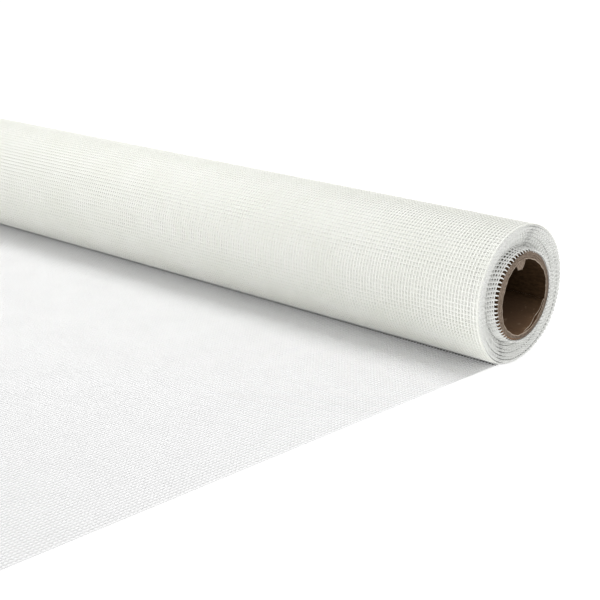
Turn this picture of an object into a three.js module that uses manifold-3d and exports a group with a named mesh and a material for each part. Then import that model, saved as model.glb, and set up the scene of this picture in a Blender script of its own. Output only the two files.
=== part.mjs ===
// Roll of woven fibreglass insect screen on a cardboard tube, with its last stretch unrolled.
// Millimetres, +Z up. The roll's axis is along X and the unrolled stretch lies towards -Y.

import * as THREE from 'three';
import { mergeVertices } from 'three/addons/utils/BufferGeometryUtils.js';
import Module from 'manifold-3d';

// Cloth
const clothWidth = 610;
const clothThickness = 0.33;
const unrolledLength = 300;

// A plain grid of openings stands for the unrolled stretch's weave, with about its open share
const openingsAcross = 12;
const openingsAlong = 6;
const openShare = 0.54;

// Wound roll
const rollDiameter = 53;
const turnBundles = 10;
const bundleStep = 0.4;
const innerTurnsProud = 1;
const unrolledShift = 6;

// Cardboard tube
const tubeBore = 28.6;
const tubeWall = 2.1;
const tubeLength = 610;
const windingGap = 0.3;

// Facets round a full turn, a multiple of four so that one edge is the lowest line
const facets = 64;

// Radii that follow from the sizes above
const rollRadius = rollDiameter / 2;
const boreRadius = tubeBore / 2;
const tubeRadius = boreRadius + tubeWall;
const firstTurnRadius = tubeRadius + windingGap;

const clothMaterial = new THREE.MeshStandardMaterial({ color: '#edeee7', roughness: 0.55, metalness: 0 });
const boardMaterial = new THREE.MeshStandardMaterial({ color: '#a08468', roughness: 0.9, metalness: 0 });

const wasm = await Module();
wasm.setup();

// A closed geometry as a solid that can be joined
function solidOf(geometry) {
  const bare = geometry.clone();
  bare.deleteAttribute('normal');
  bare.deleteAttribute('uv');
  const merged = mergeVertices(bare);
  const vertProperties = new Float32Array(merged.attributes.position.array);
  const triVerts = new Uint32Array(merged.index.array);
  return new wasm.Manifold(new wasm.Mesh({ numProp: 3, vertProperties, triVerts }));
}

// A joined solid as a geometry
function geometryOf(solid) {
  const mesh = solid.getMesh();
  const geometry = new THREE.BufferGeometry();
  geometry.setAttribute('position', new THREE.BufferAttribute(mesh.vertProperties, 3));
  geometry.setIndex(new THREE.BufferAttribute(mesh.triVerts, 1));
  geometry.computeVertexNormals();
  return geometry;
}

// A closed outline of (radius, place along the axis) turned about the X axis
function turned(outline) {
  const geometry = new THREE.LatheGeometry([...outline, outline[0]], facets);
  return geometry.rotateZ(-Math.PI / 2);
}

// The wound turns in section. Each bundle of turns keeps the cloth's width, so a bundle
// that stands out of one end of the roll is drawn in at the other end.
function woundOutline() {
  const bundleWidth = (rollRadius - firstTurnRadius) / turnBundles;
  const shownEnd = [];
  const hiddenEnd = [];
  for (let bundle = 0; bundle < turnBundles; bundle += 1) {
    const outer = rollRadius - bundle * bundleWidth;
    const inner = outer - bundleWidth;
    const proud = innerTurnsProud * bundle / Math.max(turnBundles - 1, 1);
    const shift = proud + bundleStep * (bundle % 2);
    shownEnd.push(new THREE.Vector2(outer, clothWidth / 2 + shift));
    shownEnd.push(new THREE.Vector2(inner, clothWidth / 2 + shift));
    hiddenEnd.unshift(new THREE.Vector2(outer, -clothWidth / 2 + shift));
    hiddenEnd.unshift(new THREE.Vector2(inner, -clothWidth / 2 + shift));
  }
  return [...shownEnd, ...hiddenEnd];
}

// A box with its middle on the unrolled stretch, across by along from the shown corner of the lowest line
function flatBox(width, length, height, across, along) {
  const box = new THREE.BoxGeometry(width, length, height);
  const shownEdge = clothWidth / 2 - unrolledShift;
  box.translate(shownEdge - across, -along, clothThickness / 2 - rollRadius);
  return solidOf(box);
}

// The unrolled stretch: a flat sheet with its grid of openings, each in the middle of its share
function unrolledCloth() {
  const pitchAcross = clothWidth / openingsAcross;
  const pitchAlong = unrolledLength / openingsAlong;
  const side = Math.sqrt(openShare);
  const openings = [];
  for (let column = 0; column < openingsAcross; column += 1) {
    for (let row = 0; row < openingsAlong; row += 1) {
      const across = (column + 0.5) * pitchAcross;
      const along = (row + 0.5) * pitchAlong;
      openings.push(flatBox(pitchAcross * side, pitchAlong * side, clothThickness * 3, across, along));
    }
  }
  const sheet = flatBox(clothWidth, unrolledLength, clothThickness, clothWidth / 2, unrolledLength / 2);
  return sheet.subtract(wasm.Manifold.union(openings));
}

// The cloth is one piece: the wound turns, and the stretch that runs off the roll's lowest line
function screenCloth() {
  const cloth = solidOf(turned(woundOutline())).add(unrolledCloth());
  const mesh = new THREE.Mesh(geometryOf(cloth), clothMaterial);
  mesh.name = 'screen_cloth';
  return mesh;
}

// The tube is open from end to end
function coreTube() {
  const outline = [
    new THREE.Vector2(tubeRadius, tubeLength / 2),
    new THREE.Vector2(boreRadius, tubeLength / 2),
    new THREE.Vector2(boreRadius, -tubeLength / 2),
    new THREE.Vector2(tubeRadius, -tubeLength / 2),
  ];
  const mesh = new THREE.Mesh(turned(outline), boardMaterial);
  mesh.name = 'core_tube';
  return mesh;
}

const roll = new THREE.Group();
roll.add(screenCloth(), coreTube());

// The origin is on the floor, under the middle of the ground that the roll and its cloth cover
const extent = new THREE.Box3().setFromObject(roll);
const middle = extent.getCenter(new THREE.Vector3());
roll.position.set(-middle.x, -middle.y, -extent.min.z);

const screenRoll = new THREE.Group();
screenRoll.add(roll);

export default screenRoll;
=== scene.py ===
import math

import bpy
import numpy as np
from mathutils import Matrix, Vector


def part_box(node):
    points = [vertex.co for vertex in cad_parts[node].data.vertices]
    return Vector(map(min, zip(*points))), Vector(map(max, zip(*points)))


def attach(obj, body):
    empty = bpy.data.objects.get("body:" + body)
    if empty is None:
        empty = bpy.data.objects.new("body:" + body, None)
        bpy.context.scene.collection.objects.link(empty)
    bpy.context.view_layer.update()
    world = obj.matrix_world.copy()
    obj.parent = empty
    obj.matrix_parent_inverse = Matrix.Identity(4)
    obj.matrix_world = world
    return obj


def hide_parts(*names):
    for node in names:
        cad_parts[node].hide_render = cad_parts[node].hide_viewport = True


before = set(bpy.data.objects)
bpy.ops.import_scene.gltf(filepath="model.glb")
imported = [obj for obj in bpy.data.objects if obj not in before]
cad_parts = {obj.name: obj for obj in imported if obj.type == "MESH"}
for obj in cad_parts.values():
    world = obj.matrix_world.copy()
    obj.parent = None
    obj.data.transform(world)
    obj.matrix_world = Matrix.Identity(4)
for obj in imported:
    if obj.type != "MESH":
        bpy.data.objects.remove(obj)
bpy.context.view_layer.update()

# Sizes are in metres, and MM turns millimetres into them
MM = 0.001
INCH = 25.4 * MM
TAU = 2 * math.pi

# The roll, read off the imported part
tube_low, tube_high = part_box("core_tube")
cloth_low, cloth_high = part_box("screen_cloth")
AXIS_Y = (tube_low.y + tube_high.y) / 2
AXIS_Z = (tube_low.z + tube_high.z) / 2
ROLL_RADIUS = cloth_high.z - AXIS_Z
TUBE_RADIUS = (tube_high.z - tube_low.z) / 2
SHOWN_END = tube_high.x
FAR_END = tube_low.x
FREE_EDGE_Y = cloth_low.y
CLOTH_WIDTH = SHOWN_END - FAR_END

# The weave: 18 by 16 holes an inch. The second turn fills the last holes at each end, and over the
# top its crosswise yarns are broader, because they stand for those of the turns beneath too.
ALONG_PITCH = INCH / 18
ROUND_PITCH = INCH / 16
LENGTHWISE_WIDTH = 0.47 * MM
CROSSWISE_WIDTH = 0.4 * MM
STUB_WIDTH = 0.58 * MM
YARN_HEIGHT = 0.19 * MM
CROSSWISE_HEIGHT = 0.15 * MM
NESTED_WIDTH = 1.4 * MM
FILLED_HOLES = 2

# The winding: tight bundles of turns with a gap between each two, which opens over the last share
# of a bundle. The outermost two turns are real yarn all along, and a packed body is beneath them.
TURN_PITCH = 0.25 * MM
BUNDLE_TURNS = 4
BUNDLE_GAP = 0.24 * MM
BUNDLE_STEP = 0.25 * MM
BUNDLE_CHANGE = 0.2
WINDING_GAP = 0.3 * MM
OUTER_MIDDLE = ROLL_RADIUS - YARN_HEIGHT / 2
STEPS_PER_TURN = 52
REAL_TURNS = 2
PACKED_BELOW = 0.03 * MM
PACKED_RINGS = 14
PACKED_STEPS = 128

# The cloth's edge at the shown end: drawn in where it leaves the roll, then hollow, and the
# innermost turns step out again towards the tube's end
UNROLLED_SHIFT = FAR_END - cloth_low.x
SETTLING_ANGLE = 1.5 * math.pi
SETTLING_POWER = 3.9
COLLAR_PROUD = 1.0 * MM
COLLAR_TURNS = 5
COLLAR_STEP = 0.87 * MM
COLLAR_ROWS = 1
NEST_DRIFT = 0.28 * MM
TOOTH_LENGTH = 0.7 * MM
TOOTH_DROP = 0.75 * MM
LEAST_DROP = 0.7
TOOTH_WIDTH = 0.36 * MM
HOLLOW_DEPTH = COLLAR_TURNS * COLLAR_STEP - COLLAR_PROUD
DRAWN_IN_BELOW = 4.0 * MM
DRAWN_IN_BEHIND = 1.2 * MM
DRAWN_IN_TURNS = 5
SHOULDER = 0.9 * MM
SHOULDER_TURNS = 1.2
SHORT_STUB = 0.6 * MM
LONG_STUB = 1.2 * MM
UNEVEN_STUB = 0.06 * MM

# The rows of yarn that are modelled at the ends of the deeper turns
END_ROWS = 3
END_DEPTH = END_ROWS * ALONG_PITCH

# The cardboard tube. A ply's bevel is a share of it, and its waves are turned from the last ply's.
TUBE_WALL = 2.1 * MM
BORE_RADIUS = TUBE_RADIUS - TUBE_WALL
TUBE_STEPS = 192
TUBE_PLIES = 6
# Outer plies that are painted dark at the front, as painted shade of the gap between the tube and the
# cloth
SHADED_PLIES = 2
PLY_GROOVE = 0.15 * MM
PLY_BEVEL = 0.18
PLY_WAVES = 3
PLY_TURN = 2.1
UNEVEN_PLY = 0.12 * MM
CRUSHED_THICK = 2.6 * MM
DENTED_THICK = 0.9 * MM
CRUSHED_LENGTH = 45 * MM
THIN_END = 0.35 * MM
SUNK_PLY = 0.8 * MM
PAPER = 0.3 * MM
BORE_DEPTHS = (0.08, 0.25, 0.5, 0.75, 1)
RINGS_PER_PLY = 3
BOARD_RIM, BOARD_INSIDE, TORN_PAPER = 0, 1, 2

# The loose stretch of the inner ply, between two angles in degrees
LOOSE_ANGLES = (6, 74)
LOOSE_LIFT = 1.45 * MM
LOOSE_DEPTH = 22 * MM
LOOSE_INSET = 0.1 * MM
LOOSE_FULLNESS = 0.7
LOOSE_KINK = 0.25
LOOSE_KINKS = 11
LOOSE_EDGE_SUNK = 0.2 * MM
LOOSE_STEPS = 24
LOOSE_ROWS = 6
LOOSE_FACES = 2 * LOOSE_STEPS * LOOSE_ROWS

# The torn flap, with the radii and the angles in degrees of its held and its free edge
FLAP_HELD = (BORE_RADIUS, BORE_RADIUS - 1.1 * MM), (177, 203)
FLAP_FREE = (BORE_RADIUS - 4.1 * MM, BORE_RADIUS - 3.4 * MM), (187, 200)
FLAP_HELD_PROUD = 0.05 * MM
FLAP_FREE_PROUD = 0.1 * MM
FLAP_CURL = 0.25 * MM
FLAP_POINTS = 6
FLAP_ROWS = 5

# Where a bump lies round a turn: its middle angle and its width, in degrees. 0 is the lowest
# line, 90 is behind, 180 is the top and 270 is in front.
UNDERNEATH = (8, 42)
BEHIND = (85, 45)
OVER_THE_TOP = (178, 52)
CRUSHED_FRONT = (250, 62)
DENTED_BACK = (150, 26)
SUNK_FRONT = (255, 80)

# Waves round a turn: the height of each, how many there are to a turn, and its start in radians
EDGE_WANDER = ((0.12 * MM, 0.61, 0), (0.08 * MM, 1.7, 1))
RAGGED_BORE = ((0.1 * MM, 9, 0), (0.08 * MM, 23, 1))

# Where one tone turns into another: heights above the floor or the axis, shares of a pitch
# from a yarn's middle, and levels of noise
WOUND_YARN = (0.5 * MM, 5 * MM)
# Heights over the axis across which the painted shade in the packed body's gaps gives way to light
GAP_SHADE_HEIGHTS = (-0.4 * ROLL_RADIUS, 0.6 * ROLL_RADIUS)
# Heights under the axis over which painted light brightens the bore's lower wall
BORE_PAINTED_LIGHT = (-0.3 * BORE_RADIUS, -BORE_RADIUS)
YARN_EDGE = (0.2, 0.1)
SPECK_EDGE = (0.62, 0.7)

# The floor, with a strip under the cloth, beside the roll's contact line, painted dark as painted shade
# where light hardly reaches
FLOOR_REACH = 40.0
FLOOR_BELOW = 0.05 * MM
OPEN_FLOOR, COVERED_FLOOR, CONTACT_FLOOR = 0, 1, 2
OPEN_GLOW = 0.5
# The covered floor's glow is painted light in the holes of the cloth that lies on it
COVERED_GLOW = 0.13
CONTACT_SHADE = 7 * MM

# The light: strength all round, and lamps with their size, energy, place and turns in degrees
WORLD_LIGHT = 0.6
LAMPS = {
    "softbox": ((0.9, 0.7), 10, (0, AXIS_Y + 0.1, 1.3), (0, 0, 0)),
    "fill": ((1.2, 0.6), 8.5, (0, -1.6, 0.5), (75, 0, 0)),
    "side_fill": ((0.8, 0.8), 2.7, (SHOWN_END + 1.2, 0, 0.5), (0, 72, 0)),
}

# The camera, placed from the middle of the roll's shown end
CAMERA_OFFSET = (270.7 * MM, -401.55 * MM, 144.6 * MM)
CAMERA_AZIMUTH = math.radians(43.54)
CAMERA_ELEVATION = math.radians(17.02)
CAMERA_LENS = 82.97
CAMERA_SENSOR = 36
CAMERA_CLIP = (0.01, 100)

ALONG_ROLL = np.array([1.0, 0.0, 0.0])
AXIS_POINT = np.array([0.0, AXIS_Y, AXIS_Z])
random = np.random.default_rng(18)


def put_camera():
    """The camera, in front of the shown end and a little above it."""
    data = bpy.data.cameras.new("camera")
    data.lens = CAMERA_LENS
    data.sensor_width = CAMERA_SENSOR
    data.clip_start, data.clip_end = CAMERA_CLIP
    camera = bpy.data.objects.new("camera", data)
    dx, dy, dz = CAMERA_OFFSET
    camera.location = (SHOWN_END + dx, AXIS_Y + dy, AXIS_Z + dz)
    camera.rotation_euler = (math.pi / 2 - CAMERA_ELEVATION, 0, CAMERA_AZIMUTH)
    bpy.context.scene.collection.objects.link(camera)
    bpy.context.scene.camera = camera


# Materials

def new_material(name, color, roughness, specular=0.5):
    """A material with its shader, a node maker that links what it is given, and a linker."""
    material = bpy.data.materials.new(name)
    material.use_nodes = True
    tree = material.node_tree
    shader = tree.nodes["Principled BSDF"]
    shader.inputs["Base Color"].default_value = (*color, 1)
    shader.inputs["Roughness"].default_value = roughness
    shader.inputs["Specular IOR Level"].default_value = specular

    def node(kind, settings=None, **inputs):
        made = tree.nodes.new(kind)
        for key, value in (settings or {}).items():
            setattr(made, key, value)
        for key, value in inputs.items():
            socket = made.inputs[int(key[1:])] if key[1:].isdigit() else made.inputs[key]
            if isinstance(value, bpy.types.NodeSocket):
                tree.links.new(value, socket)
            else:
                socket.default_value = value
        return made

    return material, shader, node, tree.links.new


def ramp_of(node, factor, dark, light, low=0.3, high=0.7):
    """A colour between two tones by a factor."""
    ramp = node("ShaderNodeValToRGB", Fac=factor)
    ramp.color_ramp.elements[0].position = low
    ramp.color_ramp.elements[0].color = (*dark, 1)
    ramp.color_ramp.elements[1].position = high
    ramp.color_ramp.elements[1].color = (*light, 1)
    return ramp.outputs["Color"]


def math_of(node, operation, *values):
    """The result of a math node."""
    inputs = {f"_{index}": value for index, value in enumerate(values)}
    return node("ShaderNodeMath", {"operation": operation}, **inputs).outputs[0]


def noise_of(node, place, scale, detail):
    """Cloudy noise, with so many clouds to a metre."""
    return node("ShaderNodeTexNoise", Vector=place, Scale=scale, Detail=detail).outputs["Fac"]


def bump_of(node, height, strength, distance):
    """Relief from a height."""
    return node("ShaderNodeBump", Strength=strength, Distance=distance, Height=height).outputs["Normal"]


def range_of(node, value, low, high):
    """0 at low to 1 at high."""
    made = node("ShaderNodeMapRange", Value=value)
    made.inputs["From Min"].default_value = low
    made.inputs["From Max"].default_value = high
    return made.outputs["Result"]


def mixed(node, factor, first, second):
    """The first colour where the factor is 0, and the second where it is 1."""
    return node("ShaderNodeMix", {"data_type": "RGBA"}, Factor=factor, _6=first, _7=second).outputs[2]


def specks_of(node, place, scale, detail):
    """1 on scattered specks and 0 between them."""
    return range_of(node, noise_of(node, place, scale, detail), *SPECK_EDGE)


def yarn_lines(node, place, pitch):
    """1 on yarns that lie a pitch apart and 0 between them."""
    away = math_of(node, "PINGPONG", place, pitch / 2)
    return range_of(node, away, *[pitch * share for share in YARN_EDGE])


def yarn_grain(node, place):
    """The fine relief of coated yarn."""
    noise = noise_of(node, place, scale=9000.0, detail=2.0)
    return bump_of(node, noise, strength=0.25, distance=0.03 * MM)


def yarn_material():
    """White plastic-coated glass yarn: satin, cloudy, and warmer where it is wound."""
    material, shader, node, link = new_material("coated_yarn", (0.9, 0.9, 0.87), roughness=0.5)
    place = node("ShaderNodeTexCoord").outputs["Object"]
    cloud = noise_of(node, place, scale=60.0, detail=3.0)
    flat = ramp_of(node, cloud, (0.87, 0.87, 0.87), (0.9, 0.9, 0.9))
    wound = ramp_of(node, cloud, (0.895, 0.903, 0.845), (0.925, 0.93, 0.885))
    height = node("ShaderNodeSeparateXYZ", Vector=place).outputs["Z"]
    tone = mixed(node, range_of(node, height, *WOUND_YARN), flat, wound)
    link(tone, shader.inputs["Base Color"])
    link(yarn_grain(node, place), shader.inputs["Normal"])
    return material


def cut_material():
    """The cut edge of the cloth: duller, with bare glass at the yarns' ends."""
    material, shader, node, link = new_material("cut_yarn", (0.86, 0.865, 0.84), roughness=0.6)
    place = node("ShaderNodeTexCoord").outputs["Object"]
    cloud = noise_of(node, place, scale=300.0, detail=4.0)
    link(ramp_of(node, cloud, (0.83, 0.835, 0.81), (0.89, 0.895, 0.87)), shader.inputs["Base Color"])
    link(yarn_grain(node, place), shader.inputs["Normal"])
    return material


def packed_material():
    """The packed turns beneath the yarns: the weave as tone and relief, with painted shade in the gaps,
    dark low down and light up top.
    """
    material, shader, node, link = new_material("packed_cloth", (0.86, 0.87, 0.82), roughness=0.55)
    place = node("ShaderNodeTexCoord").outputs["Object"]
    apart = node("ShaderNodeSeparateXYZ", Vector=place)
    across = math_of(node, "SUBTRACT", apart.outputs["Y"], AXIS_Y)
    upward = math_of(node, "SUBTRACT", apart.outputs["Z"], AXIS_Z)
    angle = math_of(node, "ARCTAN2", across, upward)
    rows = yarn_lines(node, apart.outputs["X"], ALONG_PITCH)
    ribs = yarn_lines(node, angle, TAU / round(TAU * ROLL_RADIUS / ROUND_PITCH))
    weave = math_of(node, "MAXIMUM", rows, ribs)
    # Painted shade: the gaps are dark low on the roll and light near the top, as light from above would
    # leave them
    high_up = range_of(node, upward, *GAP_SHADE_HEIGHTS)
    gaps = ramp_of(node, high_up, (0.5, 0.53, 0.43), (0.95, 0.955, 0.92), low=0, high=1)
    link(mixed(node, weave, gaps, (0.93, 0.935, 0.895, 1)), shader.inputs["Base Color"])
    link(bump_of(node, weave, strength=0.6, distance=0.2 * MM), shader.inputs["Normal"])
    return material


def board_nodes(name, dark, light):
    """Matt board with fibres that run round the tube: its nodes, where they lie, and its tone."""
    material, shader, node, link = new_material(name, light, roughness=0.9, specular=0.1)
    place = node("ShaderNodeTexCoord").outputs["Object"]
    stretched = node("ShaderNodeMapping", Vector=place, Scale=(0.35, 1, 1)).outputs["Vector"]
    noise = node("ShaderNodeTexNoise", Vector=stretched, Scale=1300.0, Detail=6.0, Roughness=0.65)
    fibres = noise.outputs["Fac"]
    link(bump_of(node, fibres, strength=0.6, distance=0.1 * MM), shader.inputs["Normal"])
    return material, shader, node, link, place, ramp_of(node, fibres, dark, light)


def rim_material():
    """The cut end of the board, grey-brown with darker specks."""
    dark, light = (0.145, 0.107, 0.078), (0.3, 0.24, 0.192)
    material, shader, node, link, place, tone = board_nodes("board_rim", dark, light)
    specks = specks_of(node, place, scale=1500.0, detail=3.0)
    link(mixed(node, specks, tone, (0.07, 0.045, 0.03, 1)), shader.inputs["Base Color"])
    return material


def bore_material():
    """The inner ply: brown darkened as painted shade of the unlit bore, lighter and warmer low down as
    painted light, with pale specks there.
    """
    # These near-black tones are painted shade of the unlit inside of the tube
    dark, light = (0.026, 0.013, 0.005), (0.065, 0.036, 0.016)
    material, shader, node, link, place, tone = board_nodes("board_inside", dark, light)
    height = node("ShaderNodeSeparateXYZ", Vector=place).outputs["Z"]
    # Painted light: the lower wall is lighter and warmer, as if lit from above, with pale specks strewn
    # over it
    low_down = range_of(node, math_of(node, "SUBTRACT", height, AXIS_Z), *BORE_PAINTED_LIGHT)
    specks = specks_of(node, place, scale=420.0, detail=4.0)
    pale_specks = math_of(node, "MULTIPLY", specks, low_down)
    lower = mixed(node, low_down, tone, (0.24, 0.145, 0.085, 1))
    link(mixed(node, pale_specks, lower, (0.34, 0.23, 0.15, 1)), shader.inputs["Base Color"])
    return material


def paper_material():
    """Torn edges of the thin inner ply, lighter than the board."""
    dark, light = (0.21, 0.155, 0.115), (0.5, 0.42, 0.34)
    material, shader, _, link, _, tone = board_nodes("torn_paper", dark, light)
    link(tone, shader.inputs["Base Color"])
    return material


def floor_material(name, tone, glow=0.0):
    """A plain matt floor, which may have a pale glow."""
    material, shader, _, _ = new_material(name, tone, roughness=0.9)
    shader.inputs["Emission Color"].default_value = (1, 1, 1, 1)
    shader.inputs["Emission Strength"].default_value = glow
    return material


# Meshes

def add_mesh(name, points, faces, materials, slots=None, smooth=True):
    """A mesh object. slots gives each face its material's number."""
    mesh = bpy.data.meshes.new(name)
    mesh.from_pydata(points.reshape(-1, 3).tolist(), [], faces.tolist())
    if smooth:
        mesh.shade_smooth()
    for material in materials:
        mesh.materials.append(material)
    if slots is not None:
        mesh.polygons.foreach_set("material_index", slots)
    piece = bpy.data.objects.new(name, mesh)
    bpy.context.scene.collection.objects.link(piece)
    return piece


def joined(*parts):
    """One mesh's points and faces from several."""
    points, faces, base = [], [], 0
    for part_points, part_faces in parts:
        points.append(part_points.reshape(-1, 3))
        faces.append(part_faces + base)
        base += len(points[-1])
    return np.concatenate(points), np.concatenate(faces)


def yarns(middles, wide, high, half_width, half_height):
    """Four-sided closed yarns. middles is (yarns, points, 3), and wide x high runs along the yarn."""
    count, length = middles.shape[:2]
    wide = np.broadcast_to(wide, middles.shape)
    high = np.broadcast_to(high, middles.shape)
    signs = ((-1, -1), (1, -1), (1, 1), (-1, 1))
    corners = [middles + i * half_width * wide + j * half_height * high for i, j in signs]
    points = np.stack(corners, axis=2)
    first = (np.arange(count) * length * 4)[:, None, None]
    step = (np.arange(length - 1) * 4)[None, :, None]
    here = first + step + np.arange(4)
    turned_on = first + step + (np.arange(4) + 1) % 4
    sides = np.stack([here, turned_on, turned_on + 4, here + 4], axis=-1).reshape(-1, 4)
    start = first[:, 0] + np.array([0, 3, 2, 1])
    end = first[:, 0] + (length - 1) * 4 + np.arange(4)
    return points.reshape(-1, 3), np.concatenate([sides, start, end])


def around(radius, angles, x):
    """Points about the roll's axis. Angle 0 is the lowest line, and a quarter turn is behind."""
    radius, angles, x = np.broadcast_arrays(radius, angles, x)
    offset = np.stack([x, radius * np.sin(angles), -radius * np.cos(angles)], -1)
    return offset + AXIS_POINT


def closed_rings(rings):
    """A closed surface through rings of points, (rings, steps, 3), the last joined to the first."""
    count, steps = rings.shape[:2]
    ring = (np.arange(count) * steps)[:, None]
    next_ring = (np.arange(1, count + 1) % count * steps)[:, None]
    here, after = np.arange(steps), (np.arange(steps) + 1) % steps
    faces = np.stack([ring + here, ring + after, next_ring + after, next_ring + here], -1)
    return rings.reshape(-1, 3), faces.reshape(-1, 4)


def thin_sheet(front, back):
    """A closed thin sheet between two grids of points."""
    rows, columns = front.shape[:2]
    number = np.arange(rows * columns).reshape(rows, columns)
    corners = [number[:-1, :-1], number[:-1, 1:], number[1:, 1:], number[1:, :-1]]
    grid = np.stack([corner.ravel() for corner in corners], -1)
    rim = np.concatenate([number[0, :-1], number[:-1, -1], number[-1, :0:-1], number[:0:-1, 0]])
    after = np.roll(rim, -1)
    half = rows * columns
    side = np.stack([after, rim, rim + half, after + half], -1)
    points = np.concatenate([front.reshape(-1, 3), back.reshape(-1, 3)])
    return points, np.concatenate([grid, grid[:, ::-1] + half, side])


# The cloth's path: flat on the floor, then wound in from the lowest line

def ease(share):
    """0 to 1, level at both ends."""
    share = np.clip(share, 0, 1)
    return share ** 2 * (3 - 2 * share)


def bundle_at(angles):
    """Number of the bundle, which changes over the last stretch of each."""
    number, share = np.divmod(angles / TAU / BUNDLE_TURNS, 1)
    return number + ease((share - 1 + BUNDLE_CHANGE) / BUNDLE_CHANGE)


def radius_at(angles):
    """Radius of the cloth's middle."""
    return OUTER_MIDDLE - TURN_PITCH * angles / TAU - BUNDLE_GAP * bundle_at(angles)


# Radius and wound length at many angles, past the turn that lies on the tube
TABLE_TURNS = 60
TABLE_STEPS = 12000
ANGLE_TABLE = np.linspace(0, TABLE_TURNS * TAU, TABLE_STEPS)
RADIUS_TABLE = radius_at(ANGLE_TABLE)
LENGTH_TABLE = np.cumsum(RADIUS_TABLE) * ANGLE_TABLE[1]
FIRST_RADIUS = TUBE_RADIUS + WINDING_GAP + YARN_HEIGHT / 2
END_ANGLE = float(np.interp(FIRST_RADIUS, RADIUS_TABLE[::-1], ANGLE_TABLE[::-1]))
COLLAR_ANGLE = END_ANGLE - COLLAR_TURNS * TAU


def length_at(angle):
    """Length of cloth wound in up to an angle."""
    return np.interp(angle, ANGLE_TABLE, LENGTH_TABLE)


def angle_at(length):
    """Angle up to which a length of cloth is wound in."""
    return np.interp(length, LENGTH_TABLE, ANGLE_TABLE)


class Path:
    """Points along the cloth: its middle, its way along and out, its edge's shift and its stubs."""

    def __init__(self, middle, along, out, shift, stub):
        self.middle, self.along, self.out, self.shift, self.stub = middle, along, out, shift, stub

    @staticmethod
    def flat(ys):
        """On the floor, at these places along Y."""
        zero, one = np.zeros_like(ys), np.ones_like(ys)
        middle = np.stack([zero, ys, one * YARN_HEIGHT / 2], -1)
        along = np.stack([zero, one, zero], -1)
        out = np.stack([zero, zero, -one], -1)
        return Path(middle, along, out, -UNROLLED_SHIFT * one, SHORT_STUB * one)

    @staticmethod
    def wound(angles):
        """On the roll, at these winding angles."""
        zero = np.zeros_like(angles)
        out = np.stack([zero, np.sin(angles), -np.cos(angles)], -1)
        along = np.stack([zero, np.cos(angles), np.sin(angles)], -1)
        middle = around(radius_at(angles), angles, 0)
        return Path(middle, along, out, edge_shift(angles), stub_length(angles))

    def then(self, other):
        """This path with another joined on."""
        pairs = zip(self.fields(), other.fields())
        return Path(*[np.concatenate(pair) for pair in pairs])

    def fields(self):
        """Its five values, in the order in which a path takes them."""
        return self.middle, self.along, self.out, self.shift, self.stub


def swell(angles, place):
    """A smooth bump round a turn, 1 at its middle."""
    middle, width = place
    away = (np.degrees(angles) - middle + 180) % 360 - 180
    return np.exp(-(away / width) ** 2)


def waves(angles, kinds):
    """The sum of several waves round a turn."""
    return sum(height * np.sin(count * angles + start) for height, count, start in kinds)


def collar(angles):
    """How far the innermost turns step out of the hollow."""
    return COLLAR_STEP * np.maximum(angles - COLLAR_ANGLE, 0) / TAU


def edge_shift(angles):
    """How far the cloth is shifted towards the shown end."""
    turns = angles / TAU
    beneath = np.clip(turns, 0, 1)
    leaving = UNROLLED_SHIFT * np.clip(1 - angles / SETTLING_ANGLE, 0, 1) ** SETTLING_POWER
    sagging = DRAWN_IN_BELOW * swell(angles, UNDERNEATH) + DRAWN_IN_BEHIND * swell(angles, BEHIND)
    drawn_in = np.maximum(leaving, sagging * np.exp(-turns / DRAWN_IN_TURNS))
    drawn_in = drawn_in + SHOULDER * np.exp(-turns / SHOULDER_TURNS) * beneath
    bundled = BUNDLE_STEP * (1 - np.cos(math.pi * bundle_at(angles))) / 2
    wander = waves(angles, EDGE_WANDER) * beneath
    hollow = HOLLOW_DEPTH * np.minimum(angles / COLLAR_ANGLE, 1)
    return collar(angles) + bundled + wander - hollow - drawn_in


def stub_length(angles):
    """How far the crosswise yarns stick out past the last lengthwise one."""
    share = np.clip(angles / END_ANGLE, 0, 1)
    return SHORT_STUB + (LONG_STUB - SHORT_STUB) * share ** 2


def lengthwise(path, insets):
    """Yarns that run along the cloth, each at its inset from the shown edge's first yarn."""
    edge = SHOWN_END + path.shift - path.stub
    x = edge[None, :] - insets[:, None]
    middles = path.middle[None] + x[..., None] * ALONG_ROLL
    return yarns(middles, ALONG_ROLL, path.out, LENGTHWISE_WIDTH / 2, YARN_HEIGHT / 2)


def crosswise(path, start, end, width=CROSSWISE_WIDTH):
    """Yarns that run along the roll at every point of the path, from start to end."""
    ends = np.stack([start, end], -1)
    ends = ends + random.uniform(-UNEVEN_STUB, UNEVEN_STUB, ends.shape)
    middles = path.middle[:, None] + ends[..., None] * ALONG_ROLL
    wide = -path.along[:, None]
    high = path.out[:, None]
    return yarns(middles, wide, high, width / 2, CROSSWISE_HEIGHT / 2)


def crosswise_angles(first, last):
    """Winding angles of the crosswise yarns between two angles."""
    number = np.arange(math.ceil(length_at(first) / ROUND_PITCH), length_at(last) / ROUND_PITCH)
    return angle_at(number * ROUND_PITCH)


def nested_angles():
    """Winding angles of the collar's crosswise yarns, each turn's nested over those beneath."""
    step = (TAU - NEST_DRIFT / FIRST_RADIUS) / round(TAU * FIRST_RADIUS / ROUND_PITCH)
    return np.arange(COLLAR_ANGLE + step, END_ANGLE, step)


def nested_width(angles):
    """Width of the second turn's crosswise yarns, which stand for those beneath too over the top."""
    return CROSSWISE_WIDTH + (NESTED_WIDTH - CROSSWISE_WIDTH) * swell(angles, OVER_THE_TOP)


def full_width(path):
    """Start and end of the crosswise yarns of the whole width."""
    return SHOWN_END + path.shift - CLOTH_WIDTH, SHOWN_END + path.shift


def all_insets():
    """Every lengthwise yarn's inset."""
    count = int((CLOTH_WIDTH - 2 * SHORT_STUB) / ALONG_PITCH)
    return np.arange(count + 1) * ALONG_PITCH


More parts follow.
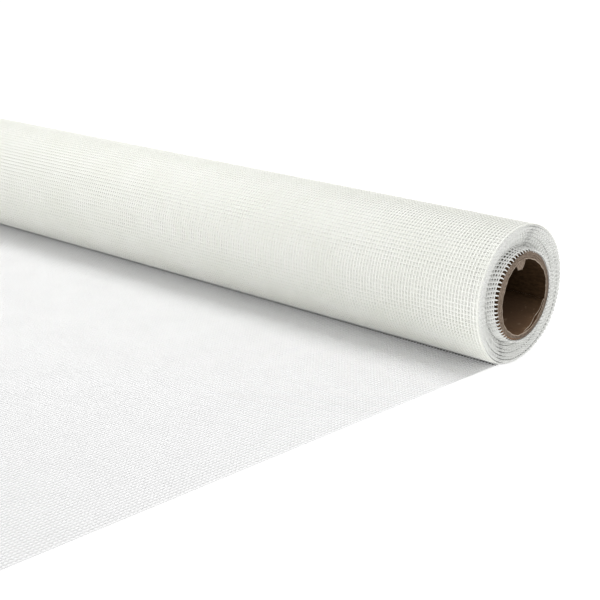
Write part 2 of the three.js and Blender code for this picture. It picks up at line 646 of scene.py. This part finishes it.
def unrolled_sheet(material):
    """The stretch on the floor and the outermost turn, one sheet of real yarns."""
    ground = np.array([FREE_EDGE_Y])
    turn = np.linspace(0, TAU, STEPS_PER_TURN + 1)
    warp = lengthwise(Path.flat(ground).then(Path.wound(turn)), all_insets())
    rows = np.arange(FREE_EDGE_Y + ROUND_PITCH / 2, AXIS_Y, ROUND_PITCH)
    weft_path = Path.flat(rows).then(Path.wound(crosswise_angles(0, TAU)))
    weft = crosswise(weft_path, *full_width(weft_path))
    sheet = add_mesh("unrolled_sheet", *joined(warp, weft), [material])
    return sheet


def inner_turn(name, number, material):
    """A whole turn beneath the outermost one, whose holes it fills near both ends."""
    first, last = number * TAU, (number + 1) * TAU
    turn = np.linspace(first, last, STEPS_PER_TURN + 1)
    between = (np.arange(FILLED_HOLES) + 0.5) * ALONG_PITCH
    insets = np.concatenate([all_insets(), between, all_insets()[-1] - between])
    warp = lengthwise(Path.wound(turn), insets)
    angles = crosswise_angles(first, last)
    weft_path = Path.wound(angles)
    weft = crosswise(weft_path, *full_width(weft_path), nested_width(angles)[:, None, None])
    return add_mesh(name, *joined(warp, weft), [material])


def teeth():
    """The innermost turn's stubs at the shown end, bent over the tube's rim."""
    angles = nested_angles()
    path = Path.wound(angles[angles > END_ANGLE - TAU])
    start = path.middle + (SHOWN_END + CROSSWISE_HEIGHT / 2) * ALONG_ROLL
    drop = TOOTH_DROP * random.uniform(LEAST_DROP, 1, len(start))[:, None]
    tip = start + TOOTH_LENGTH * ALONG_ROLL - drop * path.out
    middles = np.stack([start, tip], 1)
    return yarns(middles, -path.along[:, None], ALONG_ROLL, TOOTH_WIDTH / 2, CROSSWISE_HEIGHT / 2)


def turn_ends(name, material, shown):
    """Every deeper turn's edge at one end: its last lengthwise yarns and the stubs beyond them."""
    first, last = REAL_TURNS * TAU, END_ANGLE
    packed = np.linspace(first, COLLAR_ANGLE, int((COLLAR_ANGLE - first) / TAU * STEPS_PER_TURN))
    stepping = np.linspace(COLLAR_ANGLE, last, COLLAR_TURNS * STEPS_PER_TURN)
    rows = np.arange(END_ROWS) * ALONG_PITCH
    if not shown:
        rows = all_insets()[-1] - rows
    warp = lengthwise(Path.wound(packed), rows)
    collar_warp = lengthwise(Path.wound(stepping), rows[:COLLAR_ROWS])
    angles = np.concatenate([crosswise_angles(first, COLLAR_ANGLE), nested_angles()])
    weft_path = Path.wound(angles)
    low, high = full_width(weft_path)
    if shown:
        low = high - END_DEPTH - LONG_STUB - collar(angles)
    else:
        high = low + END_DEPTH + LONG_STUB
    parts = [warp, collar_warp, crosswise(weft_path, low, high, STUB_WIDTH)]
    if shown:
        parts.append(teeth())
    return add_mesh(name, *joined(*parts), [material])


def wound_turns(material):
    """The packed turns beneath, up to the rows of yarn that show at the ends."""
    angles = np.arange(PACKED_STEPS) * TAU / PACKED_STEPS
    shown, far = [], []
    for turn in np.linspace(REAL_TURNS - 1, END_ANGLE / TAU - 1, PACKED_RINGS):
        wound = angles + turn * TAU
        radius = radius_at(wound) - YARN_HEIGHT / 2 - PACKED_BELOW
        shown.append(around(radius, angles, SHOWN_END - END_DEPTH + edge_shift(wound) - collar(wound)))
        far.append(around(radius, angles, FAR_END + END_DEPTH + edge_shift(wound)))
    return add_mesh("wound_turns", *closed_rings(np.stack(shown + far[::-1])), [material], smooth=False)


# The tube: plies round its end, a crushed front wall, and a loose and torn inner ply

def bore_edge(angles, share):
    """Radius of the bore, which the crushed wall narrows by a share."""
    crushed = CRUSHED_THICK * swell(angles, CRUSHED_FRONT)
    dented = DENTED_THICK * swell(angles, DENTED_BACK)
    return BORE_RADIUS + share * (THIN_END - crushed - dented - waves(angles, RAGGED_BORE))


def rim_rings(angles, end, outward, share):
    """The board's end: plies with a groove between each two."""
    rings = []
    inner = bore_edge(angles, share)
    for ply in range(TUBE_PLIES):
        wave = (1 + np.sin(PLY_WAVES * angles + PLY_TURN * ply)) / 2
        uneven = UNEVEN_PLY * (wave + ply % 2)
        sunk = SUNK_PLY * swell(angles, SUNK_FRONT) if ply == 0 else 0
        face = end - outward * (uneven + sunk)
        start = TUBE_RADIUS + (inner + PAPER - TUBE_RADIUS) * ply / TUBE_PLIES
        stop = TUBE_RADIUS + (inner + PAPER - TUBE_RADIUS) * (ply + 1) / TUBE_PLIES
        bevel = (stop - start) * PLY_BEVEL
        rings.append(around(start, angles, face - outward * PLY_GROOVE))
        rings.append(around(start + bevel, angles, face))
        rings.append(around(stop - bevel, angles, face))
    rings.append(around(inner + PAPER, angles, end - outward * PLY_GROOVE))
    rings.append(around(inner + PAPER, angles, end))
    rings.append(around(inner, angles, end))
    return rings


def bore_rings(angles):
    """The inside of the tube, round again where the crushing ends."""
    rings = []
    for depth in BORE_DEPTHS:
        share = (1 + math.cos(math.pi * depth)) / 2
        rings.append(around(bore_edge(angles, share), angles, SHOWN_END - CRUSHED_LENGTH * depth))
    return rings


def loose_ply():
    """A stretch of the inner ply that has come away from the wall, low at the back."""
    angles = np.radians(np.linspace(*LOOSE_ANGLES, LOOSE_STEPS + 1))[None, :]
    bulge = np.sin(np.linspace(0, math.pi, LOOSE_STEPS + 1))[None, :] ** LOOSE_FULLNESS
    lift = LOOSE_LIFT * bulge * (1 + LOOSE_KINK * np.sin(LOOSE_KINKS * angles))
    depth = np.linspace(0, 1, LOOSE_ROWS + 1)[:, None]
    wall = BORE_RADIUS + THIN_END * (1 - depth)
    radius = wall + LOOSE_EDGE_SUNK - lift * (1 - depth ** 2)
    x = SHOWN_END - LOOSE_INSET - LOOSE_DEPTH * depth
    return thin_sheet(around(radius, angles, x), around(radius - PAPER, angles, x))


def flap_edge(radii, degrees, proud):
    """Points along one edge of the torn flap."""
    angles = np.radians(np.linspace(*degrees, FLAP_POINTS))
    return around(np.linspace(*radii, FLAP_POINTS), angles, SHOWN_END + proud)


def torn_flap():
    """A torn corner of the inner ply that hangs into the bore, at the top."""
    held = flap_edge(*FLAP_HELD, FLAP_HELD_PROUD)
    free = flap_edge(*FLAP_FREE, FLAP_FREE_PROUD)
    share = np.linspace(0, 1, FLAP_ROWS)[:, None, None]
    curl = FLAP_CURL * np.sin(math.pi * share) * ALONG_ROLL
    front = held[None] + (free - held)[None] * share + curl
    return thin_sheet(front, front - PAPER * ALONG_ROLL)


def tube_slots(shown, inside, far):
    """The material of every face of the tube's body. The outer plies at the front take the bore's dark
    board as painted shade of the gap under the cloth.
    """
    slots = [BOARD_RIM] * (shown - 2) + [TORN_PAPER] + [BOARD_INSIDE] * (inside + 1) + [BOARD_RIM] * far
    slots = np.repeat(slots, TUBE_STEPS).reshape(-1, TUBE_STEPS)
    # Painted shade on the front of the outer plies
    slots[:RINGS_PER_PLY * SHADED_PLIES, TUBE_STEPS // 2:] = BOARD_INSIDE
    return slots.ravel().tolist()


def cardboard_tube(materials):
    """The tube, with the loose stretch and the torn flap of its inner ply."""
    angles = np.arange(TUBE_STEPS) * TAU / TUBE_STEPS
    shown = rim_rings(angles, SHOWN_END, 1, 1)
    inside = bore_rings(angles)
    far = rim_rings(angles, FAR_END, -1, 0)[::-1]
    body = closed_rings(np.stack(shown + inside + far))
    loose, flap = loose_ply(), torn_flap()
    slots = tube_slots(len(shown), len(inside), len(far))
    slots += [BOARD_INSIDE] * LOOSE_FACES + [TORN_PAPER] * (len(loose[1]) - LOOSE_FACES)
    slots += [BOARD_RIM] * len(flap[1])
    return add_mesh("cardboard_tube", *joined(body, loose, flap), materials, slots, smooth=False)


def stage_and_light():
    """White floor, white surroundings, a large soft light above, and weak ones in front and beside."""
    scene = bpy.context.scene
    scene.view_settings.view_transform = "Standard"
    world = bpy.data.worlds.new("studio")
    world.use_nodes = True
    world.node_tree.nodes["Background"].inputs["Color"].default_value = (1, 1, 1, 1)
    world.node_tree.nodes["Background"].inputs["Strength"].default_value = WORLD_LIGHT
    scene.world = world
    put_floor()
    for name, lamp in LAMPS.items():
        put_lamp(name, *lamp)


def put_lamp(name, size, energy, place, turned):
    """A rectangular lamp that shines down until it is turned."""
    light = bpy.data.lights.new(name, "AREA")
    light.shape = "RECTANGLE"
    light.size, light.size_y = size
    light.energy = energy
    lamp = bpy.data.objects.new(name, light)
    lamp.location = place
    lamp.rotation_euler = np.radians(turned)
    bpy.context.scene.collection.objects.link(lamp)


def put_floor():
    """A white floor, brighter where no cloth covers it, with a glow of painted light under the cloth and
    painted shade at the contact line.
    """
    open_floor = floor_material("floor", (0.75, 0.75, 0.75), OPEN_GLOW)
    # Painted light: the covered floor glows to fill the holes of the cloth with light
    covered = floor_material("covered_floor", (0.8, 0.8, 0.8), COVERED_GLOW)
    # Painted shade: a dark strip beside the roll's contact line
    contact = floor_material("contact_shade", (0.12, 0.12, 0.09))
    xs = (-FLOOR_REACH, cloth_low.x, SHOWN_END - UNROLLED_SHIFT, FLOOR_REACH)
    ys = (-FLOOR_REACH, FREE_EDGE_Y, AXIS_Y - CONTACT_SHADE, AXIS_Y, FLOOR_REACH)
    corners = np.array([(x, y, 0) for y in ys for x in xs])
    under_the_cloth = {(1, 1): COVERED_FLOOR, (2, 1): CONTACT_FLOOR}
    faces, slots = [], []
    for row in range(len(ys) - 1):
        for column in range(len(xs) - 1):
            first = row * len(xs) + column
            above = first + len(xs)
            faces.append((first, first + 1, above + 1, above))
            slots.append(under_the_cloth.get((row, column), OPEN_FLOOR))
    materials = [open_floor, covered, contact]
    floor = add_mesh("floor", corners, np.array(faces), materials, slots, smooth=False)
    floor.location.z = -FLOOR_BELOW


put_camera()
yarn = yarn_material()
cut = cut_material()
cloth_pieces = [
    unrolled_sheet(yarn),
    inner_turn("second_turn", 1, yarn),
    turn_ends("turn_ends_shown", cut, shown=True),
    turn_ends("turn_ends_far", cut, shown=False),
    wound_turns(packed_material()),
]
for piece in cloth_pieces:
    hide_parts("screen_cloth")
    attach(piece, "root")
tube = cardboard_tube([rim_material(), bore_material(), paper_material()])
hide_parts("core_tube")
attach(tube, "root")
stage_and_light()
